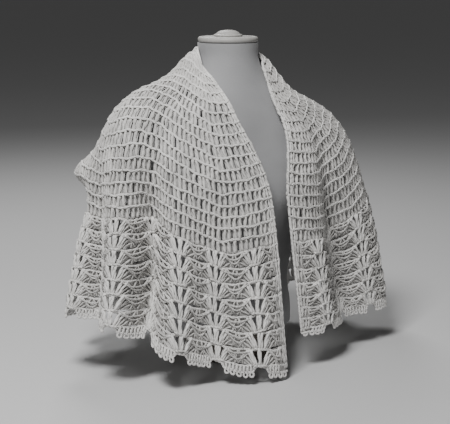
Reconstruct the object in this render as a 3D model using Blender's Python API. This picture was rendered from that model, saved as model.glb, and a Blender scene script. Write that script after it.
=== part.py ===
# Crochet shawl draped on a limbless dress form. Metres, +Z up, the form faces -Y.
# The origin is the centre of the form's flat foot.
import math
from collections import namedtuple

import bmesh
import bpy
import numpy as np

for old in list(bpy.data.objects):
    bpy.data.objects.remove(old)

# Shawl: lengths are measured down the cloth from the neck edge.
WALL = 0.003
YOKE_LENGTH = 0.355
BORDER_LENGTH = 0.172
EDGING_LENGTH = 0.018
SEAM_GAP = 0.0009
SIDE_GAP = 0.0002
DROP = YOKE_LENGTH + BORDER_LENGTH + EDGING_LENGTH
REPEATS = 24
BORDER_ROWS = 7
CUT_ROWS = 6
INCREASE_DIP = 0.026

# Each row of the table is one level of the cloth, at that distance down from the neck edge.
# Angles in degrees are where the front edges are, round from the centre front.
# The others are how far the cloth stands out from the centre, and its height there.
Level = namedtuple(
    "Level",
    "down right_edge_angle right_front right_edge_z right_side right_side_z "
    "back back_z left_side left_side_z left_edge_angle left_front left_edge_z",
)
LEVELS = (
    Level(0.000, 104.0, 0.0568, 0.561, 0.0570, 0.563, 0.0568, 0.558, 0.0567, 0.553, 66.0, 0.0610, 0.549),
    Level(0.030, 66.0, 0.099, 0.524, 0.079, 0.549, 0.071, 0.536, 0.0765, 0.543, 34.0, 0.0605, 0.529),
    Level(0.065, 46.0, 0.112, 0.502, 0.105, 0.523, 0.093, 0.509, 0.099, 0.517, 23.0, 0.073, 0.500),
    Level(0.100, 30.7, 0.117, 0.477, 0.137, 0.508, 0.113, 0.480, 0.127, 0.487, 16.0, 0.091, 0.472),
    Level(0.140, 19.6, 0.124, 0.442, 0.180, 0.495, 0.128, 0.443, 0.168, 0.466, 14.6, 0.1095, 0.437),
    Level(0.190, 11.4, 0.1395, 0.398, 0.226, 0.463, 0.140, 0.395, 0.219, 0.439, 9.6, 0.128, 0.392),
    Level(0.250, 6.2, 0.1555, 0.340, 0.258, 0.400, 0.151, 0.336, 0.265, 0.388, 5.4, 0.141, 0.336),
    Level(0.355, 4.4, 0.171, 0.234, 0.276, 0.295, 0.172, 0.231, 0.306, 0.281, 5.2, 0.150, 0.229),
    Level(0.450, 4.0, 0.183, 0.124, 0.286, 0.200, 0.192, 0.137, 0.332, 0.178, 5.8, 0.160, 0.134),
    Level(0.545, 3.4, 0.195, 0.007, 0.300, 0.105, 0.214, 0.052, 0.348, 0.067, 5.9, 0.170, 0.062),
)

# Folds: across is -1 at the right front edge, 0 at the centre back and 1 at the left front edge.
# out is how far the fold stands out at the hem, or in when it is negative.
Fold = namedtuple("Fold", "across starts out width lean")
FOLDS = (
    Fold(-0.950, 0.25, 0.012, 0.060, 0.00),
    Fold(-0.845, 0.25, -0.018, 0.060, 0.00),
    Fold(-0.755, 0.20, 0.018, 0.045, 0.00),
    Fold(-0.690, 0.14, -0.082, 0.052, -0.03),
    Fold(-0.610, 0.16, 0.020, 0.050, 0.00),
    Fold(-0.520, 0.20, -0.024, 0.050, 0.00),
    Fold(-0.430, 0.20, 0.020, 0.050, 0.00),
    Fold(-0.335, 0.25, -0.026, 0.050, 0.00),
    Fold(-0.240, 0.25, 0.020, 0.055, 0.00),
    Fold(-0.140, 0.25, -0.024, 0.055, 0.00),
    Fold(-0.040, 0.25, 0.020, 0.055, 0.00),
    Fold(0.060, 0.25, -0.024, 0.055, 0.00),
    Fold(0.160, 0.25, 0.020, 0.055, 0.00),
    Fold(0.260, 0.25, -0.026, 0.055, 0.00),
    Fold(0.355, 0.22, 0.022, 0.050, 0.00),
    Fold(0.450, 0.20, -0.028, 0.050, 0.00),
    Fold(0.545, 0.20, 0.022, 0.050, 0.00),
    Fold(0.640, 0.20, -0.024, 0.050, 0.00),
    Fold(0.720, 0.20, 0.018, 0.045, 0.00),
    Fold(0.850, 0.10, -0.044, 0.046, 0.00),
    Fold(0.955, 0.15, 0.012, 0.040, 0.00),
)

# A soft lump where the cloth is caught up at the wearer's right side, the hollow under it, and
# two places where a deep fold opens out again at the hem.
Lump = namedtuple("Lump", "across down out wide tall")
LUMPS = (
    Lump(-0.335, 0.284, 0.039, 0.066, 0.030),
    Lump(-0.360, 0.362, -0.016, 0.085, 0.040),
    Lump(-0.700, 0.550, 0.044, 0.048, 0.050),
    Lump(0.855, 0.550, 0.022, 0.048, 0.050),
    Lump(1.000, 0.023, -0.0035, 0.150, 0.012),
)

# Lines of paired increases, where the rows come to a point: across at the neck and at the hem.
Increase = namedtuple("Increase", "at_neck at_hem")
INCREASES = (
    Increase(-0.905, -0.853),
    Increase(-0.480, -0.520),
    Increase(-0.160, -0.170),
    Increase(0.160, 0.170),
    Increase(0.480, 0.520),
    Increase(0.905, 0.853),
)
INCREASE_SPREAD = 0.160

# One repeat of the border: a thick post with a V-shaped gap on each side, between two half fans.
POST = (0.470, 0.530)
GAP_TOP = (0.335, 0.665)
GAP_FOOT = (0.425, 0.575)
GAP_STARTS = 0.20
GAP_ENDS = 0.86
# Lower outline of the edging over one repeat: a notch at each end, five picots between.
PICOTS = (0.003, 0.009, 0.017, 0.012, 0.018, 0.014, 0.018, 0.012, 0.017, 0.009)

# Dress form: half widths and depths of each ring of the torso and neck.
FormRing = namedtuple("FormRing", "z half_width front back roundness")
FORM_RINGS = (
    FormRing(0.058, 0.120, 0.094, 0.090, 2.3),
    FormRing(0.092, 0.121, 0.092, 0.090, 2.3),
    FormRing(0.142, 0.115, 0.086, 0.085, 2.3),
    FormRing(0.217, 0.129, 0.104, 0.095, 2.3),
    FormRing(0.267, 0.142, 0.124, 0.103, 2.4),
    FormRing(0.307, 0.151, 0.133, 0.109, 2.4),
    FormRing(0.357, 0.164, 0.122, 0.115, 2.5),
    FormRing(0.402, 0.175, 0.105, 0.114, 2.5),
    FormRing(0.432, 0.176, 0.094, 0.107, 2.4),
    FormRing(0.452, 0.166, 0.086, 0.099, 2.3),
    FormRing(0.468, 0.148, 0.079, 0.091, 2.2),
    FormRing(0.484, 0.120, 0.072, 0.082, 2.1),
    FormRing(0.502, 0.091, 0.064, 0.072, 2.0),
    FormRing(0.520, 0.0690, 0.0580, 0.0635, 2.0),
    FormRing(0.547, 0.0548, 0.0540, 0.0548, 2.0),
    FormRing(0.573, 0.0545, 0.0545, 0.0545, 2.0),
)
FORM_SIDES = 32

# Turned pieces: radius and height of each corner of the outline, from the bottom centre up.
CAP_OUTLINE = (
    (0.0, 0.5734), (0.0495, 0.5734), (0.0530, 0.5750), (0.0540, 0.5785), (0.0530, 0.5820),
    (0.0495, 0.5835), (0.0, 0.5835),
)
KNOB_OUTLINE = (
    (0.0, 0.5839), (0.0252, 0.5839), (0.0260, 0.5852), (0.0252, 0.5870), (0.0215, 0.5880),
    (0.0195, 0.5906), (0.0140, 0.5934), (0.0070, 0.5947), (0.0, 0.5950),
)
FOOT_OUTLINE = (
    (0.0, 0.0000), (0.0780, 0.0000), (0.0800, 0.0030), (0.0800, 0.0520), (0.0780, 0.0576), (0.0, 0.0576),
)


def through(places, values, at):
    """Smooth curve through the rows of a table, at any places between them."""
    places = np.asarray(places, float)
    values = np.asarray(values, float)
    slopes = np.diff(values, axis=0) / np.diff(places)[:, None]
    lean = np.empty_like(values)
    lean[1:-1] = (slopes[:-1] + slopes[1:]) / 2
    lean[0] = slopes[0]
    lean[-1] = slopes[-1]
    at = np.clip(at, places[0], places[-1])
    i = np.clip(np.searchsorted(places, at, side="right") - 1, 0, len(places) - 2)
    step = (places[i + 1] - places[i])[:, None]
    u = (at - places[i])[:, None] / step
    return (
        (2 * u**3 - 3 * u**2 + 1) * values[i]
        + (u**3 - 2 * u**2 + u) * step * lean[i]
        + (3 * u**2 - 2 * u**3) * values[i + 1]
        + (u**3 - u**2) * step * lean[i + 1]
    )


def eased(x):
    x = np.clip(x, 0, 1)
    return x * x * (3 - 2 * x)


def cone(across, down):
    """The cloth without its folds: a rounded cone that is open at the front."""
    level = through([row.down for row in LEVELS], [row[1:] for row in LEVELS], down)
    right = across < 0
    edge = np.radians(np.where(right, level[:, 0], level[:, 9]))
    front = np.where(right, level[:, 1], level[:, 10])
    edge_z = np.where(right, level[:, 2], level[:, 11])
    side = np.where(right, level[:, 3], level[:, 7])
    side_z = np.where(right, level[:, 4], level[:, 8])
    back = level[:, 5]
    back_z = level[:, 6]
    turn = np.abs(across) * (math.pi - edge)
    x = side * np.sin(turn) * np.where(right, -1, 1)
    behind = turn < math.pi / 2
    y = np.where(behind, back, front) * np.cos(turn)
    to_side = eased(turn / (math.pi / 2))
    to_edge = eased((turn - math.pi / 2) / np.maximum(math.pi / 2 - edge, 0.2))
    z = np.where(behind, back_z + (side_z - back_z) * to_side, side_z + (edge_z - side_z) * to_edge)
    return np.stack([x, y, z], 1)


def fold_out(across, down):
    """How far the folds and lumps stand out at a place on the cloth."""
    out = np.zeros_like(across)
    for fold in FOLDS:
        grown = eased((down - fold.starts) / (DROP - fold.starts)) ** 0.8
        middle = fold.across + fold.lean * (1 - down / DROP)
        out += fold.out * grown * np.exp(-1.2 * ((across - middle) / fold.width) ** 2)
    for lump in LUMPS:
        away = ((across - lump.across) / lump.wide) ** 2 + ((down - lump.down) / lump.tall) ** 2
        out += lump.out * np.exp(-away)
    return out


def middle_of_cloth(across, down):
    """The middle of the wall: the cone pushed out or in by the folds, along its level normal."""
    points = cone(across, down)
    step = 0.001
    run = cone(np.clip(across + step, -1, 1), down) - cone(np.clip(across - step, -1, 1), down)
    level = np.stack([-run[:, 1], run[:, 0]], 1)
    level /= np.linalg.norm(level, axis=1)[:, None]
    level *= np.sign((level * points[:, :2]).sum(1))[:, None]
    points[:, :2] += level * fold_out(across, down)[:, None]
    return points


def cloth(across, down, off):
    """Point on the cloth, this far off the middle of its wall: to one face or the other."""
    across, down, off = np.broadcast_arrays(across, down, off)
    across = across.astype(float).ravel()
    down = down.astype(float).ravel()
    step = 0.002
    wide = middle_of_cloth(np.clip(across + step, -1, 1), down)
    wide -= middle_of_cloth(np.clip(across - step, -1, 1), down)
    tall = middle_of_cloth(across, np.clip(down + step, 0, DROP))
    tall -= middle_of_cloth(across, np.clip(down - step, 0, DROP))
    normal = np.cross(tall, wide)
    normal /= np.linalg.norm(normal, axis=1)[:, None]
    return middle_of_cloth(across, down) + normal * off.astype(float).ravel()[:, None]


def dipped(across, down):
    """Rows come to a point at each line of increases, least at the neck and the hem."""
    rise = np.full_like(across, 0.0)
    for line in INCREASES:
        middle = line.at_neck + (line.at_hem - line.at_neck) * down / DROP
        rise = np.maximum(rise, 1 - np.abs(across - middle) / INCREASE_SPREAD)
    amount = INCREASE_DIP * np.sin(math.pi * np.clip(down / DROP, 0, 1))
    return down + amount * (np.maximum(rise, 0) - 0.4)


def material(name, colour, roughness):
    made = bpy.data.materials.new(name)
    made.use_nodes = True
    shader = made.node_tree.nodes["Principled BSDF"]
    shader.inputs["Base Color"].default_value = (*colour, 1)
    shader.inputs["Roughness"].default_value = roughness
    return made


def add(name, points, faces, made, smooth=True):
    mesh = bpy.data.meshes.new(name)
    mesh.from_pydata([tuple(p) for p in points], [], faces)
    shape = bmesh.new()
    shape.from_mesh(mesh)
    bmesh.ops.recalc_face_normals(shape, faces=shape.faces)
    shape.to_mesh(mesh)
    shape.free()
    mesh.materials.append(made)
    if smooth:
        mesh.shade_smooth()
        mesh.set_sharp_from_angle(angle=math.radians(35))
    obj = bpy.data.objects.new(name, mesh)
    bpy.context.scene.collection.objects.link(obj)
    return obj


def wall(name, outer, inner, rings, cut, made):
    """A cloth wall between an outer and an inner grid of points, with this many rings. cut holds
    the (ring, upright) cells that are gaps right through."""
    uprights = len(outer) // rings
    points = np.concatenate([outer, inner])
    back = len(outer)

    def at(ring, upright):
        return ring * uprights + upright

    def whole(ring, upright):
        inside = 0 <= ring < rings - 1 and 0 <= upright < uprights - 1
        return inside and (ring, upright) not in cut

    faces = []
    for ring in range(rings - 1):
        for upright in range(uprights - 1):
            if not whole(ring, upright):
                continue
            a = at(ring, upright)
            b = at(ring, upright + 1)
            c = at(ring + 1, upright + 1)
            d = at(ring + 1, upright)
            faces.append((a, b, c, d))
            faces.append((a + back, d + back, c + back, b + back))
            sides = (
                (a, b, ring - 1, upright),
                (b, c, ring, upright + 1),
                (c, d, ring + 1, upright),
                (d, a, ring, upright - 1),
            )
            for first, last, beside_ring, beside_upright in sides:
                if not whole(beside_ring, beside_upright):
                    faces.append((last, first, first + back, last + back))
    used = sorted({index for face in faces for index in face})
    place = {index: i for i, index in enumerate(used)}
    faces = [tuple(place[index] for index in face) for face in faces]
    return add(name, points[used], faces, made)


def below(edge_across, edge_points, across, down, gap):
    """Points hung from the straight chords of the edge above them, this much lower."""
    hung = np.stack([np.interp(across, edge_across, edge_points[:, i]) for i in range(3)], 1)
    fall = cloth(across, down, 0.0) - cloth(across, down - 0.004, 0.0)
    return hung + fall / np.linalg.norm(fall, axis=1)[:, None] * gap


def turned(name, outline, made, sides=44):
    """A piece turned on the upright axis from the outline of half of it."""
    points = []
    faces = []
    ends = (outline[0], outline[-1])
    for radius, z in outline[1:-1]:
        for i in range(sides):
            angle = 2 * math.pi * i / sides
            points.append((radius * math.cos(angle), radius * math.sin(angle), z))
    rings = len(outline) - 2
    for ring in range(rings - 1):
        for i in range(sides):
            j = (i + 1) % sides
            low = ring * sides
            faces.append((low + i, low + j, low + sides + j, low + sides + i))
    points.append((0, 0, ends[0][1]))
    points.append((0, 0, ends[1][1]))
    for i in range(sides):
        j = (i + 1) % sides
        top = (rings - 1) * sides
        faces.append((rings * sides, j, i))
        faces.append((rings * sides + 1, top + i, top + j))
    return add(name, points, faces, made)


def torso(name, made):
    """The form's torso and neck, as one skin through its rings, closed flat at both ends."""
    heights = []
    for low, high in zip(FORM_RINGS[:-1], FORM_RINGS[1:]):
        heights.append(low.z)
        if high.z - low.z > 0.045:
            heights.append((low.z + high.z) / 2)
    heights.append(FORM_RINGS[-1].z)
    rows = through([ring.z for ring in FORM_RINGS], [ring[1:] for ring in FORM_RINGS], np.array(heights))
    points = []
    for z, (half_width, front, back, roundness) in zip(heights, rows):
        for i in range(FORM_SIDES):
            angle = 2 * math.pi * i / FORM_SIDES
            s = math.sin(angle)
            c = math.cos(angle)
            depth = front if c > 0 else back
            x = half_width * math.copysign(abs(s) ** (2 / roundness), s)
            y = -depth * math.copysign(abs(c) ** (2 / roundness), c)
            points.append((x, y, z))
    faces = []
    for ring in range(len(heights) - 1):
        for i in range(FORM_SIDES):
            j = (i + 1) % FORM_SIDES
            low = ring * FORM_SIDES
            faces.append((low + i, low + j, low + FORM_SIDES + j, low + FORM_SIDES + i))
    faces.append(tuple(range(FORM_SIDES)))
    last = (len(heights) - 1) * FORM_SIDES
    faces.append(tuple(range(last + FORM_SIDES - 1, last - 1, -1)))
    return add(name, points, faces, made)


wool = material("wool", (0.80, 0.79, 0.77), 0.95)
border_wool = material("border_wool", (0.84, 0.83, 0.81), 0.95)
cover = material("form_cover", (0.34, 0.34, 0.35), 0.9)
turned_wood = material("turned_wood", (0.40, 0.39, 0.37), 0.55)

# The yoke is one wall, with three uprights to each repeat of the border below it.
yoke_across = []
for repeat in range(REPEATS):
    start = -1 + 2 * repeat / REPEATS
    for part in (0.0, GAP_TOP[0], GAP_TOP[1]):
        yoke_across.append(start + part * 2 / REPEATS)
yoke_across = np.array(yoke_across + [1.0])
yoke_down = (0.0, 0.020, 0.042, 0.065, 0.088, 0.112, 0.138, 0.166, 0.196, 0.228, 0.260, 0.292, 0.324)
yoke_down += (YOKE_LENGTH,)
across, down = np.meshgrid(yoke_across, np.array(yoke_down))
down = dipped(across, down)
down[0] = 0.0
yoke_outer = cloth(across, down, WALL / 2)
yoke_inner = cloth(across, down, -WALL / 2)
wall("shawl_yoke", yoke_outer, yoke_inner, len(yoke_down), set(), wool)
yoke_foot = slice(-len(yoke_across), None)

# The border hangs from the yoke and is kept as three walls, with the edging below each. In each
# cut row the two gaps of a repeat start and end on a ring of their own.
row_height = BORDER_LENGTH / BORDER_ROWS
rings = [(YOKE_LENGTH, GAP_TOP, False)]
for row in range(BORDER_ROWS - CUT_ROWS, BORDER_ROWS):
    top = YOKE_LENGTH + row * row_height
    rings.append((top + GAP_STARTS * row_height, GAP_TOP, True))
    rings.append((top + GAP_ENDS * row_height, GAP_FOOT, False))
rings.append((YOKE_LENGTH + BORDER_LENGTH, GAP_FOOT, False))
in_each = REPEATS // 3
for side, where in enumerate(("right", "back", "left")):
    rows_across = []
    cut = set()
    for ring, (length, gap, open_below) in enumerate(rings):
        line = []
        for repeat in range(side * in_each, (side + 1) * in_each):
            start = -1 + 2 * repeat / REPEATS
            for part in (0.0, gap[0], POST[0], POST[1], gap[1]):
                line.append(start + part * 2 / REPEATS)
        line.append(-1 + 2 * (side + 1) * in_each / REPEATS)
        line[0] += SIDE_GAP * (side > 0)
        line[-1] -= SIDE_GAP * (side < 2)
        rows_across.append(line)
        if open_below:
            for repeat in range(in_each):
                cut.add((ring, 5 * repeat + 1))
                cut.add((ring, 5 * repeat + 3))
    across = np.array(rows_across)
    down = dipped(across, np.repeat([[length] for length, _, _ in rings], across.shape[1], 1))
    width = across.shape[1]
    outer = cloth(across, down, WALL / 2)
    inner = cloth(across, down, -WALL / 2)
    outer[:width] = below(yoke_across, yoke_outer[yoke_foot], across[0], down[0], SEAM_GAP)
    inner[:width] = below(yoke_across, yoke_inner[yoke_foot], across[0], down[0], SEAM_GAP)
    wall("border_" + where, outer, inner, len(rings), cut, border_wool)

    # The edging: one scallop to each repeat, with a notch under each post and five picots.
    line = []
    foot = []
    for repeat in range(side * in_each, (side + 1) * in_each):
        for step in range(len(PICOTS)):
            line.append(-1 + 2 * (repeat + step / len(PICOTS)) / REPEATS)
            foot.append(PICOTS[(step + len(PICOTS) // 2) % len(PICOTS)])
    line.append(-1 + 2 * (side + 1) * in_each / REPEATS)
    foot.append(foot[0])
    line = np.array(line)
    line[0] += SIDE_GAP * (side > 0)
    line[-1] -= SIDE_GAP * (side < 2)
    top = dipped(line, np.full(len(line), YOKE_LENGTH + BORDER_LENGTH))
    hem = np.minimum(top + np.array(foot), DROP)
    edge = slice(-width, None)
    sides = []
    for points, off in ((outer, WALL / 2), (inner, -WALL / 2)):
        hung = below(across[-1], points[edge], line, top, SEAM_GAP)
        sides.append(np.concatenate([hung, cloth(line, hem, off)]))
    wall("edging_" + where, sides[0], sides[1], 2, set(), border_wool)

torso("form_body", cover)
turned("form_cap", CAP_OUTLINE, turned_wood)
turned("form_knob", KNOB_OUTLINE, turned_wood, 36)
turned("form_foot", FOOT_OUTLINE, turned_wood, 40)
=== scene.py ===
import math
from collections import namedtuple

import bpy
import numpy as np
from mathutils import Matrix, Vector


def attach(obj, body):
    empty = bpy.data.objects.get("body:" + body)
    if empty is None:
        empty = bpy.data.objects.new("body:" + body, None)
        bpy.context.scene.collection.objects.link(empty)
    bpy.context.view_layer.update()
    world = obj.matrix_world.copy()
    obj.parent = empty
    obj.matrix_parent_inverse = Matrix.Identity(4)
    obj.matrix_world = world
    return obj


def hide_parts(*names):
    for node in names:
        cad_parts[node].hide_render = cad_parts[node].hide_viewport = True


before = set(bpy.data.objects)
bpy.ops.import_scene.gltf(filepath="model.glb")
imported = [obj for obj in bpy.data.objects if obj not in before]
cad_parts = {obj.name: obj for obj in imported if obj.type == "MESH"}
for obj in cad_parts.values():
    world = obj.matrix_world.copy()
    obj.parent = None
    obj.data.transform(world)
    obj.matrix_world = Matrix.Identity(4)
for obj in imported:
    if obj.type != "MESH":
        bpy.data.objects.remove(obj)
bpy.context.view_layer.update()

# The yoke: 18 rows of tall open stitches, worked round from the neck in off-white wool. The shawl is
# one piece of crochet, so this first section also says how the whole cloth lies: as a rounded cone
# that is open at the front and hangs from the form's neck and shoulders in long soft folds.

# These sizes and tables are the solid's own. Lengths run down the cloth from the neck edge.
YOKE_LENGTH = 0.355
BORDER_LENGTH = 0.172
EDGING_LENGTH = 0.018
DROP = YOKE_LENGTH + BORDER_LENGTH + EDGING_LENGTH
REPEATS = 24
INCREASE_DIP = 0.026
INCREASE_SPREAD = 0.160
INCREASE_LIFT = 0.4
Level = namedtuple(
    "Level",
    "down right_edge_angle right_front right_edge_z right_side right_side_z "
    "back back_z left_side left_side_z left_edge_angle left_front left_edge_z",
)
LEVELS = (
    Level(0.000, 104.0, 0.0568, 0.561, 0.0570, 0.563, 0.0568, 0.558, 0.0567, 0.553, 66.0, 0.0610, 0.549),
    Level(0.030, 66.0, 0.099, 0.524, 0.079, 0.549, 0.071, 0.536, 0.0765, 0.543, 34.0, 0.0605, 0.529),
    Level(0.065, 46.0, 0.112, 0.502, 0.105, 0.523, 0.093, 0.509, 0.099, 0.517, 23.0, 0.073, 0.500),
    Level(0.100, 30.7, 0.117, 0.477, 0.137, 0.508, 0.113, 0.480, 0.127, 0.487, 16.0, 0.091, 0.472),
    Level(0.140, 19.6, 0.124, 0.442, 0.180, 0.495, 0.128, 0.443, 0.168, 0.466, 14.6, 0.1095, 0.437),
    Level(0.190, 11.4, 0.1395, 0.398, 0.226, 0.463, 0.140, 0.395, 0.219, 0.439, 9.6, 0.128, 0.392),
    Level(0.250, 6.2, 0.1555, 0.340, 0.258, 0.400, 0.151, 0.336, 0.265, 0.388, 5.4, 0.141, 0.336),
    Level(0.355, 4.4, 0.171, 0.234, 0.276, 0.295, 0.172, 0.231, 0.306, 0.281, 5.2, 0.150, 0.229),
    Level(0.450, 4.0, 0.183, 0.124, 0.286, 0.200, 0.192, 0.137, 0.332, 0.178, 5.8, 0.160, 0.134),
    Level(0.545, 3.4, 0.195, 0.007, 0.300, 0.105, 0.214, 0.052, 0.348, 0.067, 5.9, 0.170, 0.062),
)
# across is -1 at the right front edge, 0 at the centre back and 1 at the left front edge. A fold
# starts some way down and deepens to the hem, where it stands out by out, or in if that is negative.
Fold = namedtuple("Fold", "across starts out width lean")
FOLDS = (
    Fold(-0.950, 0.25, 0.012, 0.060, 0.00),
    Fold(-0.845, 0.25, -0.018, 0.060, 0.00),
    Fold(-0.755, 0.20, 0.018, 0.045, 0.00),
    Fold(-0.690, 0.14, -0.082, 0.052, -0.03),
    Fold(-0.610, 0.16, 0.020, 0.050, 0.00),
    Fold(-0.520, 0.20, -0.024, 0.050, 0.00),
    Fold(-0.430, 0.20, 0.020, 0.050, 0.00),
    Fold(-0.335, 0.25, -0.026, 0.050, 0.00),
    Fold(-0.240, 0.25, 0.020, 0.055, 0.00),
    Fold(-0.140, 0.25, -0.024, 0.055, 0.00),
    Fold(-0.040, 0.25, 0.020, 0.055, 0.00),
    Fold(0.060, 0.25, -0.024, 0.055, 0.00),
    Fold(0.160, 0.25, 0.020, 0.055, 0.00),
    Fold(0.260, 0.25, -0.026, 0.055, 0.00),
    Fold(0.355, 0.22, 0.022, 0.050, 0.00),
    Fold(0.450, 0.20, -0.028, 0.050, 0.00),
    Fold(0.545, 0.20, 0.022, 0.050, 0.00),
    Fold(0.640, 0.20, -0.024, 0.050, 0.00),
    Fold(0.720, 0.20, 0.018, 0.045, 0.00),
    Fold(0.850, 0.10, -0.044, 0.046, 0.00),
    Fold(0.955, 0.15, 0.012, 0.040, 0.00),
)
FOLD_SHARPNESS = 1.2
FOLD_GROWTH = 0.8
# Lumps where the cloth is caught up, where a deep fold opens out again, and where an edge lies in.
Lump = namedtuple("Lump", "across down out wide tall")
LUMPS = (
    Lump(-0.335, 0.284, 0.039, 0.066, 0.030),
    Lump(-0.360, 0.362, -0.016, 0.085, 0.040),
    Lump(-0.700, 0.550, 0.044, 0.048, 0.050),
    Lump(0.855, 0.550, 0.022, 0.048, 0.050),
    Lump(1.000, 0.023, -0.0035, 0.150, 0.012),
)
# Lines of paired increases, where the rows come to a point: across at the neck and at the hem.
Increase = namedtuple("Increase", "at_neck at_hem")
INCREASES = (
    Increase(-0.905, -0.853),
    Increase(-0.480, -0.520),
    Increase(-0.160, -0.170),
    Increase(0.160, 0.170),
    Increase(0.480, 0.520),
    Increase(0.905, 0.853),
)


def through(places, values, at):
    """Smooth curve through the rows of a table, at any places between them."""
    places = np.asarray(places, float)
    values = np.asarray(values, float)
    slopes = np.diff(values, axis=0) / np.diff(places)[:, None]
    lean = np.empty_like(values)
    lean[1:-1] = (slopes[:-1] + slopes[1:]) / 2
    lean[0] = slopes[0]
    lean[-1] = slopes[-1]
    at = np.clip(at, places[0], places[-1])
    i = np.clip(np.searchsorted(places, at, side="right") - 1, 0, len(places) - 2)
    step = (places[i + 1] - places[i])[:, None]
    u = (at - places[i])[:, None] / step
    return (
        (2 * u**3 - 3 * u**2 + 1) * values[i]
        + (u**3 - 2 * u**2 + u) * step * lean[i]
        + (3 * u**2 - 2 * u**3) * values[i + 1]
        + (u**3 - u**2) * step * lean[i + 1]
    )


def eased(x):
    """From 0 to 1 with a soft start and a soft end."""
    x = np.clip(x, 0, 1)
    return x * x * (3 - 2 * x)


def cone(across, down):
    """The cloth without its folds: a rounded cone that is open at the front."""
    level = Level(down, *through([row.down for row in LEVELS], [row[1:] for row in LEVELS], down).T)
    right = across < 0
    edge = np.radians(np.where(right, level.right_edge_angle, level.left_edge_angle))
    front = np.where(right, level.right_front, level.left_front)
    edge_z = np.where(right, level.right_edge_z, level.left_edge_z)
    side = np.where(right, level.right_side, level.left_side)
    side_z = np.where(right, level.right_side_z, level.left_side_z)
    turn = np.abs(across) * (math.pi - edge)
    x = side * np.sin(turn) * np.where(right, -1, 1)
    behind = turn < math.pi / 2
    y = np.where(behind, level.back, front) * np.cos(turn)
    to_side = eased(turn / (math.pi / 2))
    # at the neck the right edge lies behind the side, so the span between them is kept open
    to_edge = eased((turn - math.pi / 2) / np.maximum(math.pi / 2 - edge, 0.2))
    z_behind = level.back_z + (side_z - level.back_z) * to_side
    z_before = side_z + (edge_z - side_z) * to_edge
    return np.stack([x, y, np.where(behind, z_behind, z_before)], 1)


def fold_out(across, down):
    """How far the folds and lumps stand out at a place on the cloth."""
    out = np.zeros_like(across)
    for fold in FOLDS:
        grown = eased((down - fold.starts) / (DROP - fold.starts)) ** FOLD_GROWTH
        middle = fold.across + fold.lean * (1 - down / DROP)
        out += fold.out * grown * np.exp(-FOLD_SHARPNESS * ((across - middle) / fold.width) ** 2)
    for lump in LUMPS:
        away = ((across - lump.across) / lump.wide) ** 2 + ((down - lump.down) / lump.tall) ** 2
        out += lump.out * np.exp(-away)
    return out


def middle_of_cloth(across, down):
    """The middle of the wall: the cone pushed out or in by the folds, along its level normal."""
    points = cone(across, down)
    step = 0.001
    run = cone(np.clip(across + step, -1, 1), down) - cone(np.clip(across - step, -1, 1), down)
    level = np.stack([-run[:, 1], run[:, 0]], 1)
    level /= np.linalg.norm(level, axis=1)[:, None]
    level *= np.sign((level * points[:, :2]).sum(1))[:, None]
    points[:, :2] += level * fold_out(across, down)[:, None]
    return points


def increase_place(line, down):
    """Place across of one line of increases, at some length down the cloth."""
    return line.at_neck + (line.at_hem - line.at_neck) * down / DROP


def dipped(across, down):
    """Rows come to a point at each line of increases, least at the neck and the hem."""
    rise = np.zeros_like(across)
    for line in INCREASES:
        away = np.abs(across - increase_place(line, down))
        rise = np.maximum(rise, 1 - away / INCREASE_SPREAD)
    amount = INCREASE_DIP * np.sin(math.pi * np.clip(down / DROP, 0, 1))
    return down + amount * (np.maximum(rise, 0) - INCREASE_LIFT)


def lie(across, down):
    """Place on the cloth, with its outward normal and the two directions across and down it."""
    shape = across.shape
    across = across.ravel()
    down = np.clip(dipped(across, down.ravel()), 0, DROP)
    step = 0.002
    wide = middle_of_cloth(np.clip(across + step, -1, 1), down)
    wide -= middle_of_cloth(np.clip(across - step, -1, 1), down)
    tall = middle_of_cloth(across, np.clip(down + step, 0, DROP))
    tall -= middle_of_cloth(across, np.clip(down - step, 0, DROP))
    normal = np.cross(wide, tall)
    normal /= np.linalg.norm(normal, axis=1)[:, None]
    wide /= np.linalg.norm(wide, axis=1)[:, None]
    tall = np.cross(normal, wide)
    place = middle_of_cloth(across, down)
    return [part.reshape(shape + (3,)) for part in (place, normal, wide, tall)]


# The wool is an off-white fingering yarn, fuzzy and a little felted with age. One node group makes
# the fuzz and its soft unevenness, for the yarn here and for the nap of the form's cover.
fuzz = bpy.data.node_groups.new("fuzz", "ShaderNodeTree")
fuzz.interface.new_socket("Light", in_out="INPUT", socket_type="NodeSocketColor")
fuzz.interface.new_socket("Dark", in_out="INPUT", socket_type="NodeSocketColor")
fuzz.interface.new_socket("Fibres", in_out="INPUT", socket_type="NodeSocketFloat")
fuzz.interface.new_socket("Patches", in_out="INPUT", socket_type="NodeSocketFloat")
fuzz.interface.new_socket("Colour", in_out="OUTPUT", socket_type="NodeSocketColor")
fuzz.interface.new_socket("Height", in_out="OUTPUT", socket_type="NodeSocketFloat")
given = fuzz.nodes.new("NodeGroupInput")
result = fuzz.nodes.new("NodeGroupOutput")
place = fuzz.nodes.new("ShaderNodeTexCoord")
hairs = fuzz.nodes.new("ShaderNodeTexNoise")
hairs.inputs["Detail"].default_value = 4
hairs.inputs["Roughness"].default_value = 0.7
patches = fuzz.nodes.new("ShaderNodeTexNoise")
patches.inputs["Detail"].default_value = 2
both = fuzz.nodes.new("ShaderNodeMath")
both.operation = "ADD"
ramp = fuzz.nodes.new("ShaderNodeMapRange")
ramp.inputs["From Min"].default_value = 0.75
ramp.inputs["From Max"].default_value = 1.25
blend = fuzz.nodes.new("ShaderNodeMix")
blend.data_type = "RGBA"
fuzz.links.new(place.outputs["Object"], hairs.inputs["Vector"])
fuzz.links.new(place.outputs["Object"], patches.inputs["Vector"])
fuzz.links.new(given.outputs["Fibres"], hairs.inputs["Scale"])
fuzz.links.new(given.outputs["Patches"], patches.inputs["Scale"])
fuzz.links.new(hairs.outputs["Fac"], both.inputs[0])
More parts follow.
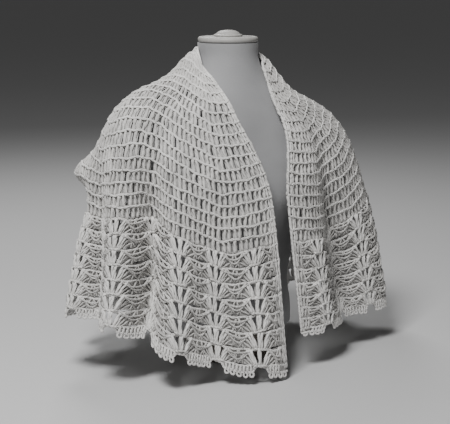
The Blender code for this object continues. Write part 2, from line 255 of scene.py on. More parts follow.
fuzz.links.new(patches.outputs["Fac"], both.inputs[1])
fuzz.links.new(both.outputs[0], ramp.inputs["Value"])
fuzz.links.new(ramp.outputs["Result"], blend.inputs["Factor"])
fuzz.links.new(given.outputs["Dark"], blend.inputs[6])
fuzz.links.new(given.outputs["Light"], blend.inputs[7])
fuzz.links.new(blend.outputs[2], result.inputs["Colour"])
fuzz.links.new(hairs.outputs["Fac"], result.inputs["Height"])


def fuzzy(name, light, dark, fibres, patch, rough=0.95, sheen=0.12, bump=0.6, depth=0.0006):
    """A matt cloth or yarn: the fuzz group's colour and bump, with a sheen on the shader itself.
    light and dark are the ends of its tones, fibres and patch the fineness of its fuzz and shades."""
    made = bpy.data.materials.new(name)
    made.use_nodes = True
    nodes = made.node_tree.nodes
    links = made.node_tree.links
    shader = nodes["Principled BSDF"]
    shader.inputs["Roughness"].default_value = rough
    shader.inputs["Specular IOR Level"].default_value = 0.2
    shader.inputs["Sheen Weight"].default_value = sheen
    shader.inputs["Sheen Roughness"].default_value = 0.5
    group = nodes.new("ShaderNodeGroup")
    group.node_tree = fuzz
    group.inputs["Light"].default_value = (*light, 1)
    group.inputs["Dark"].default_value = (*dark, 1)
    group.inputs["Fibres"].default_value = fibres
    group.inputs["Patches"].default_value = patch
    lift = nodes.new("ShaderNodeBump")
    lift.inputs["Strength"].default_value = bump
    lift.inputs["Distance"].default_value = depth
    links.new(group.outputs["Colour"], shader.inputs["Base Color"])
    links.new(group.outputs["Height"], lift.inputs["Height"])
    links.new(lift.outputs["Normal"], shader.inputs["Normal"])
    return made


yarn = fuzzy("yarn", (0.90, 0.885, 0.86), (0.66, 0.65, 0.63), fibres=1100, patch=26)
# a darker copy of the same yarn, for the yoke's stems and the border's thinner strands: painted shade, so
# the lit braids and posts stand out from them
painted_shade_yarn = fuzzy("painted_shade_yarn", (0.74, 0.725, 0.70), (0.48, 0.47, 0.455), fibres=1100, patch=26)
# the net's colour is darker still than the stems: painted shade in the gaps and behind the raised
# stitches
painted_shade_ground_yarn = fuzzy(
    "painted_shade_ground_yarn", (0.60, 0.59, 0.575), (0.40, 0.395, 0.385),
    fibres=900, patch=60, rough=1.0, sheen=0.15, bump=0.8, depth=0.001,
)
felted_yarn = fuzzy(
    "felted_yarn", (0.82, 0.81, 0.79), (0.56, 0.55, 0.54),
    fibres=900, patch=90, rough=1.0, sheen=0.3, bump=0.8, depth=0.001,
)


def skin(name, points, faces, made):
    """A smooth mesh from arrays of points and of four-cornered faces."""
    mesh = bpy.data.meshes.new(name)
    mesh.vertices.add(len(points))
    mesh.vertices.foreach_set("co", np.ascontiguousarray(points, np.float32).ravel())
    mesh.loops.add(len(faces) * 4)
    mesh.loops.foreach_set("vertex_index", np.ascontiguousarray(faces, np.int32).ravel())
    mesh.polygons.add(len(faces))
    mesh.polygons.foreach_set("loop_start", np.arange(0, len(faces) * 4, 4, dtype=np.int32))
    mesh.polygons.foreach_set("use_smooth", np.ones(len(faces), bool))
    mesh.update(calc_edges=True)
    mesh.validate()
    mesh.materials.append(made)
    obj = bpy.data.objects.new(name, mesh)
    bpy.context.scene.collection.objects.link(obj)
    return obj


def gathered(parts):
    """Several batches of points and faces as one."""
    points = np.concatenate([part[0] for part in parts])
    start = np.cumsum([0] + [len(part[0]) for part in parts[:-1]])
    faces = np.concatenate([part[1] + at for part, at in zip(parts, start)])
    return points, faces


rng = np.random.default_rng(7)


def strands(paths, normals, radius, sides=4):
    """Yarn of four or six sides along each path, uneven as wool is, with closed ends."""
    count, long = paths.shape[:2]
    run = np.gradient(paths, axis=1)
    run /= np.linalg.norm(run, axis=2)[..., None] + 1e-12
    beside = np.cross(run, normals)
    beside /= np.linalg.norm(beside, axis=2)[..., None] + 1e-12
    over = np.cross(beside, run)
    radius = np.broadcast_to(np.asarray(radius, float), (count, long))
    radius = radius * rng.uniform(0.88, 1.12, (count, long))
    turn = 2 * math.pi * (np.arange(sides) + 0.5) / sides
    rings = beside[:, :, None] * np.cos(turn)[None, None, :, None]
    rings = rings + over[:, :, None] * np.sin(turn)[None, None, :, None]
    points = (paths[:, :, None] + rings * radius[:, :, None, None]).reshape(-1, 3)
    i = np.arange(count)[:, None, None] * long * sides
    j = np.arange(long - 1)[None, :, None] * sides
    k = np.arange(sides)[None, None, :]
    after = (k + 1) % sides
    around = np.stack([i + j + k, i + j + after, i + j + sides + after, i + j + sides + k], -1)
    first = np.arange(count)[:, None] * long * sides
    faces = [around.reshape(-1, 4)]
    for cap in ((0, 1, 2, 3), (0, 3, 4, 5))[: sides // 2 - 1]:
        faces.append(first + np.array(cap)[None, ::-1])
        faces.append(first + (long - 1) * sides + np.array(cap)[None])
    return points, np.concatenate(faces)


def twisted(place, normal, beside, proud, apart, turns, radius, sides=4):
    """Stems or chains along the paths, raised proud of the cloth: two plies wind about each path."""
    phase = rng.uniform(0, 6.28, (len(place), 1))
    along = np.linspace(0, 1, place.shape[1])[None, :]
    parts = []
    for ply in (0.0, math.pi):
        angle = 2 * math.pi * turns * along + ply + phase
        shift = beside * np.cos(angle)[..., None] + normal * np.sin(angle)[..., None]
        parts.append(strands(place + normal * proud + shift * apart, normal, radius, sides))
    return gathered(parts)


CHAIN_POINTS = 4


def braided(place, normal, beside, sway, roll, proud, radius, beat=CHAIN_POINTS, rolls=2, sides=4):
    """Chain worked along one line, raised proud of the cloth: two plies sway to either side of it
    and cross once in every chain stitch, which is beat points long."""
    parts = []
    for ply in (0.0, math.pi):
        phase = math.pi * np.arange(len(place)) / beat + ply
        shift = beside * np.cos(phase)[:, None] * sway + normal * np.sin(rolls * phase)[:, None] * roll
        parts.append(strands((place + shift + normal * proud)[None], normal[None], radius, sides))
    return gathered(parts)


NET_DEPTH = 0.0015
net = []


def net_patch(across, down, kept):
    """Part of the flat net behind the raised stitches, from grids of places. Only the cells that
    kept names are worked, and the others are gaps."""
    place, normal, _, _ = lie(across, down)
    corner = np.arange(across.size).reshape(across.shape)
    faces = np.stack([corner[:-1, :-1], corner[:-1, 1:], corner[1:, 1:], corner[1:, :-1]], -1)[kept]
    used, again = np.unique(faces, return_inverse=True)
    points = (place - normal * NET_DEPTH).reshape(-1, 3)
    net.append((points[used], again.reshape(faces.shape)))


def wander(across, row):
    """Hand-worked rows are not quite even: each strays up and down by a millimetre or two."""
    slow = np.sin(17 * across * math.pi + 1.7 * row)
    quick = np.sin(47 * across * math.pi + 2.9 * row)
    return 0.0010 * slow + 0.0008 * quick


# Each stitch of the yoke is a stem of two twisted plies, and the chain along the top of each row is
# a braid that stands proud. The rows widen by paired increases on six lines, and near the neck the
# stitches are drawn close together and felted.
YOKE_ROWS = 18
ROW_HEIGHT = YOKE_LENGTH / YOKE_ROWS
STITCH_AT_NECK = 0.0060
STITCH = 0.0092
STITCH_AT_BORDER = 0.0096
CLOSE_ROWS = 5
FELTED_ROWS = 5
LOWER_ROWS_FROM = 10
STEM = 0.00178
STEM_PLIES_APART = 0.00122
STEM_PLACES = (0.04, 0.30, 0.56, 0.80, 1.00)
UNEVEN = 0.0003
ROW_CHAIN = 0.00128
ROW_CHAIN_PROUD = 0.0022
# The net keeps a strip behind each stem. Its gaps reach from the second place down a row to the
# fourth, and the rows near the neck are felted, without gaps.
NET_STRIP = 0.0080
NET_PLACES = (0.0, 0.16, 0.55, 0.90, 1.0)
GAP_CELLS_DOWN = slice(1, 3)
upper_stems = []
lower_stems = []
yoke_braids = []
fine = np.linspace(-1, 1, 1201)
for row in range(YOKE_ROWS):
    top = row * ROW_HEIGHT
    middle = top + ROW_HEIGHT / 2
    run = lie(fine, np.full(fine.shape, middle))[0]
    measured = np.concatenate([[0], np.cumsum(np.linalg.norm(np.diff(run, axis=0), axis=1))])
    pitch = np.interp(row, [0, CLOSE_ROWS, YOKE_ROWS], [STITCH_AT_NECK, STITCH, STITCH_AT_BORDER])
    lines = [increase_place(line, middle) for line in INCREASES]
    ends = np.interp([-1.0] + lines + [1.0], fine, measured)
    spots = []
    for panel, (start, end) in enumerate(zip(ends[:-1], ends[1:])):
        count = max(2, round((end - start) / pitch))
        share = (np.arange(count) + 0.5) / count
        # the outermost stitches stand close beside the front edges
        if panel == 0:
            share = (np.arange(count) + 0.25) / (count - 0.25)
        if panel == len(ends) - 2:
            share = (np.arange(count) + 0.5) / (count - 0.25)
        spots.append(start + (end - start) * share)
    places = np.interp(np.concatenate(spots), measured, fine)
    count = len(places)
    edges = np.concatenate([[-1.0], (places[:-1] + places[1:]) / 2, [1.0]])
    gap = np.diff(edges)
    # worked by hand, each stitch strays, leans and bends a little
    places = places + rng.normal(0, 0.08, count) * gap
    g = np.array(STEM_PLACES)[None, :]
    lean = rng.normal(0, 0.11, (count, 1)) * gap[:, None]
    bend = rng.normal(0, 0.05, (count, 1)) * gap[:, None]
    across = np.clip(places[:, None] + lean * (2 * g - 1) + bend * np.sin(math.pi * g), -1, 1)
    down = top + g * ROW_HEIGHT + wander(across, row) * (1 - g) + wander(across, row + 1) * g
    place, normal, wide, _ = lie(across, down)
    proud = rng.normal(0.0, UNEVEN, (count, 1, 1))
    # stems are thinner where they are close
    size = (0.72 + 0.28 * pitch / STITCH) * rng.uniform(0.90, 1.12, (count, 1))
    thick = STEM * (1.14 - 0.24 * np.sin(math.pi * g)) * size
    stems = lower_stems if row >= LOWER_ROWS_FROM else upper_stems
    stems.append(
        twisted(place, normal, wide, proud, apart=STEM_PLIES_APART, turns=0.75, radius=thick, sides=6)
    )

    chain = np.arange(count * CHAIN_POINTS + 1) / CHAIN_POINTS
    line = np.interp(chain, np.arange(count + 1), edges)
    place, normal, _, tall = lie(line, top + wander(line, row))
    yoke_braids.append(
        braided(place, normal, tall, sway=0.0011, roll=0.0004, proud=ROW_CHAIN_PROUD, radius=ROW_CHAIN)
    )

    half = NET_STRIP / 2 / pitch * gap
    columns = np.sort(np.concatenate([[-1.0, 1.0], places - half, places + half]))
    columns = np.clip(columns, -1, 1)
    g = np.array(NET_PLACES)[:, None]
    across = np.repeat(columns[None], len(NET_PLACES), 0)
    down = top + g * ROW_HEIGHT + wander(across, row) * (1 - g) + wander(across, row + 1) * g
    kept = np.ones((len(NET_PLACES) - 1, len(columns) - 1), bool)
    if row >= FELTED_ROWS:
        kept[GAP_CELLS_DOWN, ::2] = False
    net_patch(across, down, kept)
    if row == FELTED_ROWS - 1:
        felted_faces = sum(len(part[1]) for part in net)

# Along both front edges two chains run from the neck to the hem, which keep them from stretching.
EdgeChain = namedtuple("EdgeChain", "inset radius")
EDGE_CHAINS = (EdgeChain(0.0010, 0.00120), EdgeChain(0.0048, 0.00105))
EDGE_CHAIN_STARTS = 0.001
EDGE_CHAIN_ENDS = YOKE_LENGTH + BORDER_LENGTH + 0.010
EDGE_CHAIN_STEP = 0.0036
edge_chains = []
edge_down = np.arange(EDGE_CHAIN_STARTS, EDGE_CHAIN_ENDS, EDGE_CHAIN_STEP)
# roughly the length of half a row, at the neck, at the yoke's end and at the hem
half_row = np.interp(edge_down, [0, YOKE_LENGTH, DROP], [0.18, 0.60, 0.95])
for hand in (-1, 1):
    for chain in EDGE_CHAINS:
        place, normal, wide, _ = lie(hand * (1 - chain.inset / half_row), edge_down)
        edge_chains.append(
            braided(
                place, normal, wide, sway=0.0009, roll=0.0005, proud=0.0010, radius=chain.radius,
                beat=2.5, rolls=1, sides=6,
            )
        )

# the stems take the darker copy of the yarn, which is painted shade
yoke_upper_stitches = skin("yoke_upper_stitches", *gathered(upper_stems), painted_shade_yarn)
yoke_lower_stitches = skin("yoke_lower_stitches", *gathered(lower_stems), painted_shade_yarn)
yoke_row_braids = skin("yoke_row_braids", *gathered(yoke_braids), yarn)
front_edge_chains = skin("front_edge_chains", *gathered(edge_chains), yarn)
for piece in (yoke_upper_stitches, yoke_lower_stitches, yoke_row_braids, front_edge_chains):
    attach(piece, "root")

# The border: seven rows of fans in the same yarn. Each of its 24 repeats has a thick post with a
# V-shaped gap and two stout arms on each side, all from one broad foot. Thinner strands slant between
# the fans, chains sag from foot to foot, and a braid runs along the top of every row.
BORDER_ROWS = 7
BORDER_ROW_HEIGHT = BORDER_LENGTH / BORDER_ROWS
# The share of the half row that runs plain beside each front edge.
FRONT_BAND = 0.019
# Places across a repeat, from 0 to 1, and down a row.
POST = (0.463, 0.537)
GAP_TOP = (0.322, 0.678)
GAP_FOOT = (0.425, 0.575)
GAP_STARTS = 0.14
GAP_ENDS = 0.82
NET_LEVELS = (0.0, GAP_STARTS, 0.38, 0.60, GAP_ENDS, 1.0)
NET_NARROWED = (0.0, 0.0, 1 / 3, 2 / 3, 1.0, 1.0)
NET_GAP_CELLS = slice(1, 4)
NET_RIGHT = (0.0, 0.09, 0.18, 0.27)
NET_LEFT = (0.73, 0.82, 0.91)
FOOT_WIDTH = 0.30
FOOT_DOWN = 0.97
# Upright stems in the plain bands, this many repeats outside the last fan.
BAND_PLACES = (0.02, 0.08, 0.14, 0.20)
BORDER_CHAIN = 0.00120
CHAINS_IN_REPEAT = 7
CHAIN_DIP = 0.0030
# From this row on the border is denser, thicker and more felted.
DENSE_FROM = 5
DENSE_STEM = 1.14
Stem = namedtuple("Stem", "foot foot_down head head_down thick proud")
POST_STEMS = (
    Stem(0.488, 1.02, 0.474, 0.02, 0.00165, 0.0020),
    Stem(0.512, 1.02, 0.526, 0.02, 0.00165, 0.0020),
)
ARM_STEMS = (
    Stem(0.420, 1.00, 0.288, 0.06, 0.00170, 0.0024),
    Stem(0.380, 0.99, 0.222, 0.15, 0.00150, 0.0016),
)
SLANTED_STEMS = (
    Stem(0.340, 0.98, 0.160, 0.36, 0.00120, 0.0009),
    Stem(0.290, 1.00, 0.085, 0.62, 0.00115, 0.0006),
    Stem(0.020, 0.94, 0.225, 0.14, 0.00130, 0.0014),
    Stem(0.110, 1.00, 0.020, 0.12, 0.00115, 0.0008),
)


def on_border(repeat, row, f, g):
    """Place on the border: f across one repeat and g down one row."""
    across = np.clip((-1 + 2 * (repeat + f) / REPEATS) * (1 - FRONT_BAND), -1, 1)
    return lie(across, YOKE_LENGTH + (row + g) * BORDER_ROW_HEIGHT + wander(across, YOKE_ROWS + row))


motif_at, motif_row = np.meshgrid(np.arange(REPEATS), np.arange(BORDER_ROWS))
motif_at = motif_at.ravel()[:, None].astype(float)
motif_row = motif_row.ravel()[:, None].astype(float)
motifs = len(motif_at)
strayed = rng.normal(0, 0.012, (motifs, 1))


def fan_stems(stems, hands, points, sides=4):
    """One batch of stems in every repeat of every row, on one hand of the post or on both. They
    bend outward, thicken towards their heads and stray a little, as hand work does."""
    parts = []
    t = np.linspace(0, 1, points)[None, :]
    for stem in stems:
        for hand in hands:
            out = 0.5 - (stem.foot + (stem.head - stem.foot) * t**1.15)
            f = 0.5 + hand * out + strayed + rng.normal(0, 0.010, (motifs, 1)) * (0.3 + t)
            g = stem.foot_down + (stem.head_down - stem.foot_down) * t
            g = g + rng.normal(0, 0.035, (motifs, 1)) * t
            place, normal, wide, _ = on_border(motif_at, motif_row, f, g)
            proud = stem.proud + rng.normal(0, UNEVEN, (motifs, 1, 1))
            thick = stem.thick * (0.85 + 0.30 * t) * rng.uniform(0.88, 1.12, (motifs, 1))
            thick = thick * np.where(motif_row >= DENSE_FROM, DENSE_STEM, 1.0)
            apart = stem.thick * 0.80
            parts.append(twisted(place, normal, wide, proud, apart, turns=0.8, radius=thick, sides=sides))
    return parts


fans = fan_stems(POST_STEMS, hands=(1,), points=5, sides=6)
fans += fan_stems(ARM_STEMS, hands=(-1, 1), points=5, sides=6)
# the broad foot lies across the base of each post
t = np.linspace(0, 1, 7)[None, :]
f = 0.5 + strayed + FOOT_WIDTH * (t - 0.5)
place, normal, _, tall = on_border(motif_at, motif_row, f, FOOT_DOWN + 0 * f)
fans.append(twisted(place, normal, tall, proud=0.0030, apart=0.0011, turns=1.6, radius=0.00150))
border_posts = skin("border_posts", *gathered(fans), yarn)

half_fans = fan_stems(SLANTED_STEMS, hands=(-1, 1), points=5)
# four upright stems in every row fill the band beside each front edge
band_right = [-at for at in reversed(BAND_PLACES)]
band_left = [REPEATS + at for at in BAND_PLACES]
band_at = np.tile(band_right + band_left, BORDER_ROWS)[:, None]
band_row = np.repeat(np.arange(BORDER_ROWS), 2 * len(BAND_PLACES))[:, None].astype(float)
t = np.linspace(0, 1, 5)[None, :]
strays = rng.normal(0, 0.010, band_at.shape)
leans = rng.normal(0, 0.014, band_at.shape)
place, normal, wide, _ = on_border(0, band_row, band_at + strays + leans * (2 * t - 1), t)
half_fans.append(twisted(place, normal, wide, proud=0.0006, apart=0.0011, turns=0.8, radius=0.00145))
# two chains sag between the feet of neighbouring fans
Loop = namedtuple("Loop", "reach sag proud")
LOOPS = (Loop(0.35, 0.40, 0.0032), Loop(0.25, 0.66, 0.0026))
LOOP_STARTS = 0.03
between, row_below = np.meshgrid(np.arange(REPEATS + 1), np.arange(BORDER_ROWS))
between = between.ravel()[:, None].astype(float)
row_below = row_below.ravel()[:, None].astype(float)
for loop in LOOPS:
    reach = loop.reach + rng.normal(0, 0.015, between.shape)
    sag = loop.sag + rng.normal(0, 0.06, between.shape)
    first = np.maximum(between - reach, 0)
    last = np.minimum(between + reach, REPEATS)
    f = first + (last - first) * np.linspace(0, 1, 13)[None, :]
    g = LOOP_STARTS + sag * (1 - ((f - between) / reach) ** 2)
    place, normal, _, tall = on_border(0, row_below, f, g)
    half_fans.append(
        twisted(place, normal, tall, proud=loop.proud, apart=0.0010, turns=4.5, radius=0.00125)
    )
# the slanted stems, band stems and sagging chains take the darker copy of the yarn, which is painted
# shade
border_half_fans = skin("border_half_fans", *gathered(half_fans), painted_shade_yarn)

# the braids dip between the posts, all but the last, which carries the edging
border_braids = []
line = np.linspace(-1, 1, REPEATS * CHAINS_IN_REPEAT * CHAIN_POINTS + 1)
between_posts = np.cos(math.pi * (line / (1 - FRONT_BAND) + 1) * REPEATS / 2) ** 2
for row in range(BORDER_ROWS + 1):
    dip = CHAIN_DIP if row < BORDER_ROWS else 0.0
    down = YOKE_LENGTH + row * BORDER_ROW_HEIGHT + wander(line, YOKE_ROWS + row) + dip * between_posts
    place, normal, _, tall = lie(line, down)
    border_braids.append(
        braided(place, normal, tall, sway=0.0010, roll=0.0004, proud=0.0012, radius=BORDER_CHAIN)
    )
border_row_braids = skin("border_row_braids", *gathered(border_braids), yarn)
for piece in (border_posts, border_half_fans, border_row_braids):
    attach(piece, "root")

# The net behind the fans: its gaps narrow in even steps from their tops to their feet.
levels = np.array(NET_LEVELS)[:, None]
for row in range(BORDER_ROWS):
    if row == DENSE_FROM:
        dense_faces = sum(len(part[1]) for part in net)
    grid = []
    for share in NET_NARROWED:
        right, left = [top + (foot - top) * share for top, foot in zip(GAP_TOP, GAP_FOOT)]
        each = np.array([*NET_RIGHT, right, *POST, left, *NET_LEFT])
        grid.append(np.concatenate([(np.arange(REPEATS)[:, None] + each[None]).ravel(), [REPEATS]]))
    across = (-1 + 2 * np.array(grid) / REPEATS) * (1 - FRONT_BAND)
    across = np.pad(across, ((0, 0), (1, 1)), constant_values=((0, 0), (-1, 1)))
    down = YOKE_LENGTH + (row + levels) * BORDER_ROW_HEIGHT + wander(across, YOKE_ROWS + row)
    # the gaps are the cells on the two sides of each post, between their two levels
    solid = (each != right) & (each != POST[1])
    kept = np.ones((len(levels) - 1, across.shape[1] - 1), bool)
    kept[NET_GAP_CELLS] = np.concatenate([[True], np.tile(solid, REPEATS), [True]])
    net_patch(across, down, kept)

# The edging: one scallop to each repeat, worked last. Short stems spread from the border's last
# row, a braid follows their ends, and five picots, thick closed loops of chain, hang from it. Under
# each post of the border two scallops part in a broad notch.
NOTCH = 0.0012
SCALLOP = 0.0102
NOTCH_FROM_POST = 0.09
SCALLOP_FROM_POST = 0.21
EDGE_STEMS = 13
SHORTEST_STEM = 0.004
EDGING_CHAIN = 0.00145
EDGING_CHAINS_IN_REPEAT = 11
NET_COLUMNS_IN_SCALLOP = 32
PICOT = 0.0036
PICOT_YARN = 0.00190
PICOT_PLACES = (-0.27, -0.135, 0.0, 0.135, 0.27)
PICOT_FROM_EDGE = 0.09
PICOT_OPEN = 0.4
REPEAT_AT_HEM = 0.080
BAND_REPEATS = FRONT_BAND * REPEATS / 2 / (1 - FRONT_BAND)


def scallop_depth(f):
    """Depth of the edging: nearly none under a post, at the middle of a repeat, most between two."""
    from_post = np.abs(f % 1 - 0.5)
    share = (from_post - NOTCH_FROM_POST) / (SCALLOP_FROM_POST - NOTCH_FROM_POST)
    return NOTCH + (SCALLOP - NOTCH) * eased(share)


def on_edging(f, below):
    """Place on the edging: f counts repeats from the right front edge."""
    across = np.clip((-1 + 2 * f / REPEATS) * (1 - FRONT_BAND), -1, 1)
    return lie(across, YOKE_LENGTH + BORDER_LENGTH + below + wander(across, YOKE_ROWS + BORDER_ROWS))


f = (np.arange(REPEATS * EDGE_STEMS)[:, None] + 0.5) / EDGE_STEMS
f = f[scallop_depth(f[:, 0]) > SHORTEST_STEM]
t = np.linspace(0, 1, 4)[None, :]
place, normal, wide, _ = on_edging(f + 0 * t, scallop_depth(f) * t)
edging = [twisted(place, normal, wide, proud=0.0008, apart=0.0012, turns=0.5, radius=0.00155)]
points_along = REPEATS * EDGING_CHAINS_IN_REPEAT * CHAIN_POINTS + 1
line = np.linspace(-BAND_REPEATS, REPEATS + BAND_REPEATS, points_along)
place, normal, _, tall = on_edging(line, scallop_depth(line))
edging.append(braided(place, normal, tall, sway=0.0011, roll=0.0, proud=0.0012, radius=EDGING_CHAIN))
spots = (np.arange(REPEATS + 1)[:, None] + np.array(PICOT_PLACES)[None]).ravel()
outermost = BAND_REPEATS - PICOT_FROM_EDGE
spots = spots[(spots > -outermost) & (spots < REPEATS + outermost)][:, None]
spots = spots + rng.normal(0, 0.006, spots.shape)
turn = np.linspace(PICOT_OPEN - math.pi / 2, 3 * math.pi / 2 - PICOT_OPEN, 9)[None, :]
f = spots - PICOT / REPEAT_AT_HEM * np.cos(turn)
below = scallop_depth(spots) + PICOT * (1 + np.sin(turn))
place, normal, _, _ = on_edging(f, below)
edging.append(strands(place + normal * 0.0006, normal, PICOT_YARN, sides=6))
edging_scallops = skin("edging_scallops", *gathered(edging), yarn)
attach(edging_scallops, "root")

f = np.linspace(-BAND_REPEATS, REPEATS + BAND_REPEATS, REPEATS * NET_COLUMNS_IN_SCALLOP + 1)
across = np.stack([(-1 + 2 * f / REPEATS) * (1 - FRONT_BAND)] * 2)
hem = YOKE_LENGTH + BORDER_LENGTH + wander(across[0], YOKE_ROWS + BORDER_ROWS)
net_patch(across, np.stack([hem, hem + scallop_depth(f)]), np.ones((1, len(f) - 1), bool))

# The ground of the whole shawl is the flat net of the same yarn that the raised stitches stand on,
# felted near the neck and at the hem.
net_points, net_faces = gathered(net)
# the net takes the darkest copy of the yarn, painted shade in its gaps and behind the stitches; its
# felted faces take the felted yarn
shawl_net = skin("shawl_net", net_points, net_faces, painted_shade_ground_yarn)
shawl_net.data.materials.append(felted_yarn)
order = np.arange(len(net_faces))
felted = (order < felted_faces) | (order >= dense_faces)
shawl_net.data.polygons.foreach_set("material_index", felted.astype(np.int32))
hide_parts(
    "shawl_yoke",
    "border_right",
    "border_back",
    "border_left",
    "edging_right",
    "edging_back",
    "edging_left",
)
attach(shawl_net, "root")

# The dress form's torso and neck: padded, with no head or arms, under a close grey jersey cover
# that is drawn smooth. It is a skin through the same rings as the solid, only finer.
FormRing = namedtuple("FormRing", "z half_width front back roundness")
FORM_RINGS = (
    FormRing(0.058, 0.120, 0.094, 0.090, 2.3),
    FormRing(0.092, 0.121, 0.092, 0.090, 2.3),
    FormRing(0.142, 0.115, 0.086, 0.085, 2.3),
    FormRing(0.217, 0.129, 0.104, 0.095, 2.3),
    FormRing(0.267, 0.142, 0.124, 0.103, 2.4),
    FormRing(0.307, 0.151, 0.133, 0.109, 2.4),
    FormRing(0.357, 0.164, 0.122, 0.115, 2.5),
    FormRing(0.402, 0.175, 0.105, 0.114, 2.5),
    FormRing(0.432, 0.176, 0.094, 0.107, 2.4),
    FormRing(0.452, 0.166, 0.086, 0.099, 2.3),
    FormRing(0.468, 0.148, 0.079, 0.091, 2.2),
    FormRing(0.484, 0.120, 0.072, 0.082, 2.1),
    FormRing(0.502, 0.091, 0.064, 0.072, 2.0),
    FormRing(0.520, 0.0690, 0.0580, 0.0635, 2.0),
    FormRing(0.547, 0.0548, 0.0540, 0.0548, 2.0),
    FormRing(0.573, 0.0545, 0.0545, 0.0545, 2.0),
)
COVER_RINGS = 110
AROUND = 96
heights = np.linspace(FORM_RINGS[0].z, FORM_RINGS[-1].z, COVER_RINGS)
rows = through([ring.z for ring in FORM_RINGS], [ring[1:] for ring in FORM_RINGS], heights)
cover = FormRing(heights[:, None], *rows.T[:, :, None])
turn = 2 * math.pi * np.arange(AROUND) / AROUND
s = np.sin(turn)[None, :]
c = np.cos(turn)[None, :]
depth = np.where(c > 0, cover.front, cover.back)
power = 2 / cover.roundness
x = cover.half_width * np.sign(s) * np.abs(s) ** power
y = -depth * np.sign(c) * np.abs(c) ** power
points = np.stack([x, y, cover.z + 0 * x], -1)
# the two ends are turned in to the middle, so the cover is whole
waist = [points[0] * [share, share, 1] for share in (0.01, 0.5)]
crown = [points[-1] * [share, share, 1] for share in (0.5, 0.01)]
points = np.concatenate([waist, points, crown])


def tube_faces(rings):
    """Four-cornered faces between one ring of points and the next."""
    i = np.arange(rings - 1)[:, None] * AROUND
    k = np.arange(AROUND)[None, :]
    after = (k + 1) % AROUND
    return np.stack([i + k, i + after, i + AROUND + after, i + AROUND + k], -1).reshape(-1, 4)


jersey = fuzzy(
    "jersey_cover", (0.34, 0.34, 0.345), (0.28, 0.28, 0.285),
    fibres=700, patch=12, rough=0.9, sheen=0.25, bump=0.25, depth=0.0003,
)
form_cover = skin("form_cover", points.reshape(-1, 3), tube_faces(len(points)), jersey)
form_cover.data.set_sharp_from_angle(angle=math.radians(50))
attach(form_cover, "root")
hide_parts("form_body")

# The cap, knob and foot: turned wood. The cap closes the neck like a lid with a rounded rim, and the
# low stepped knob is pinned on its middle. The foot is a plain disc under the torso, out of sight.
# A pinhole at the axis keeps the faces of the two ends four-cornered.
AXIS_HOLE = 0.0003


def turned_wood(name, dark, light):
    """Painted or stained wood with a dull shine, cloudy between two tones."""
    made = bpy.data.materials.new(name)
    made.use_nodes = True
    nodes = made.node_tree.nodes
    links = made.node_tree.links
    shader = nodes["Principled BSDF"]
    shader.inputs["Roughness"].default_value = 0.5
    where = nodes.new("ShaderNodeTexCoord")
    cloudy = nodes.new("ShaderNodeTexNoise")
    cloudy.inputs["Scale"].default_value = 60
    cloudy.inputs["Detail"].default_value = 5
    tones = nodes.new("ShaderNodeValToRGB")
    tones.color_ramp.elements[0].color = (*dark, 1)
    tones.color_ramp.elements[1].color = (*light, 1)
    links.new(where.outputs["Object"], cloudy.inputs["Vector"])
    links.new(cloudy.outputs["Fac"], tones.inputs["Fac"])
    links.new(tones.outputs["Color"], shader.inputs["Base Color"])
    return made


def turning(name, outline, made, node):
    """A piece turned about the upright axis from half of its outline, which starts and ends on it."""
    outline = np.array(outline)
    outline[0, 0] = outline[-1, 0] = AXIS_HOLE
    turn = 2 * math.pi * np.arange(AROUND) / AROUND
    x = outline[:, :1] * np.cos(turn)[None]
    y = outline[:, :1] * np.sin(turn)[None]
    points = np.stack([x, y, outline[:, 1:2] + 0 * x], -1).reshape(-1, 3)
    obj = skin(name, points, tube_faces(len(outline)), made)
    obj.data.set_sharp_from_angle(angle=math.radians(40))
    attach(obj, "root")
    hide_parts(node)


painted = turned_wood("painted_turning", (0.30, 0.295, 0.28), (0.44, 0.43, 0.41))
stained = turned_wood("stained_turning", (0.12, 0.10, 0.08), (0.20, 0.17, 0.14))
turning(
    "neck_cap",
    (
        (0.0, 0.5734), (0.0495, 0.5734), (0.0518, 0.5740), (0.0533, 0.5753), (0.0540, 0.5772),
        (0.0540, 0.5798), (0.0533, 0.5816), (0.0518, 0.5829), (0.0495, 0.5834), (0.0455, 0.5835),
        (0.0447, 0.5829), (0.0437, 0.5835), (0.0, 0.5835),
    ),
    painted, "form_cap",
)
turning(
    "neck_knob",
    (
        (0.0, 0.5839), (0.0252, 0.5839), (0.0259, 0.5845), (0.0260, 0.5858), (0.0252, 0.5870),
        (0.0225, 0.5876), (0.0214, 0.5881), (0.0207, 0.5892), (0.0193, 0.5907), (0.0140, 0.5934),
        (0.0070, 0.5947), (0.0, 0.5950),
    ),
    painted, "form_knob",
)
turning(
    "form_foot_disc",
    (
        (0.0, 0.0), (0.0780, 0.0), (0.0794, 0.0008), (0.0800, 0.0030), (0.0800, 0.0520),
        (0.0794, 0.0565), (0.0780, 0.0576), (0.0, 0.0576),
    ),
    stained, "form_foot",
)

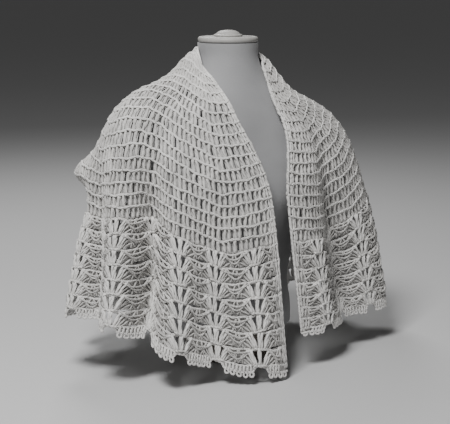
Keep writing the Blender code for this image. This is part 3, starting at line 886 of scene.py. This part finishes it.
# The studio: a pale floor, a soft light high above and a little further round than the camera, a
# weaker one behind for the edges and for the back, and an even grey sky.
floor_mesh = bpy.data.meshes.new("floor")
floor_mesh.from_pydata([(-40, -40, 0), (40, -40, 0), (40, 40, 0), (-40, 40, 0)], [], [(0, 1, 2, 3)])
floor = bpy.data.objects.new("floor", floor_mesh)
bpy.context.scene.collection.objects.link(floor)
paper = bpy.data.materials.new("paper")
paper.use_nodes = True
paper.node_tree.nodes["Principled BSDF"].inputs["Base Color"].default_value = (0.62, 0.62, 0.62, 1)
paper.node_tree.nodes["Principled BSDF"].inputs["Roughness"].default_value = 0.9
floor_mesh.materials.append(paper)

# What the camera and the lights point at: the middle of the shawl and the form.
AIM = Vector((-0.0045, 0.003, 0.264))


def way_out(azimuth, elevation):
    """Direction out from the shawl. Azimuth 0 is in front and 90 is on the form's left."""
    a = math.radians(azimuth)
    e = math.radians(elevation)
    return Vector((math.sin(a) * math.cos(e), -math.cos(a) * math.cos(e), math.sin(e)))


def soft_light(name, azimuth, elevation, distance, size, power):
    """A square light that faces the shawl."""
    out = way_out(azimuth, elevation)
    data = bpy.data.lights.new(name, "AREA")
    data.shape = "SQUARE"
    data.size = size
    data.energy = power
    obj = bpy.data.objects.new(name, data)
    obj.location = AIM + out * distance
    obj.rotation_euler = (-out).to_track_quat("-Z", "Y").to_euler()
    bpy.context.scene.collection.objects.link(obj)


soft_light("key_light", azimuth=-55, elevation=52, distance=2.2, size=0.6, power=55)
soft_light("back_light", azimuth=160, elevation=45, distance=2.4, size=0.8, power=22)
sky = bpy.data.worlds.new("sky")
sky.use_nodes = True
sky.node_tree.nodes["Background"].inputs["Color"].default_value = (0.75, 0.75, 0.75, 1)
sky.node_tree.nodes["Background"].inputs["Strength"].default_value = 0.10
bpy.context.scene.world = sky

# The camera: 36 degrees round to the form's right, 2.4 m away and a little above the neck, with a
# long lens.
CAMERA_DISTANCE = 2.4
camera_data = bpy.data.cameras.new("camera")
camera_data.sensor_width = 36
camera_data.lens = 104.8
camera = bpy.data.objects.new("camera", camera_data)
camera_side = way_out(azimuth=-36, elevation=10.5)
camera.location = AIM + camera_side * CAMERA_DISTANCE
camera.rotation_euler = camera_side.to_track_quat("Z", "Y").to_euler()
bpy.context.scene.collection.objects.link(camera)
bpy.context.scene.camera = camera
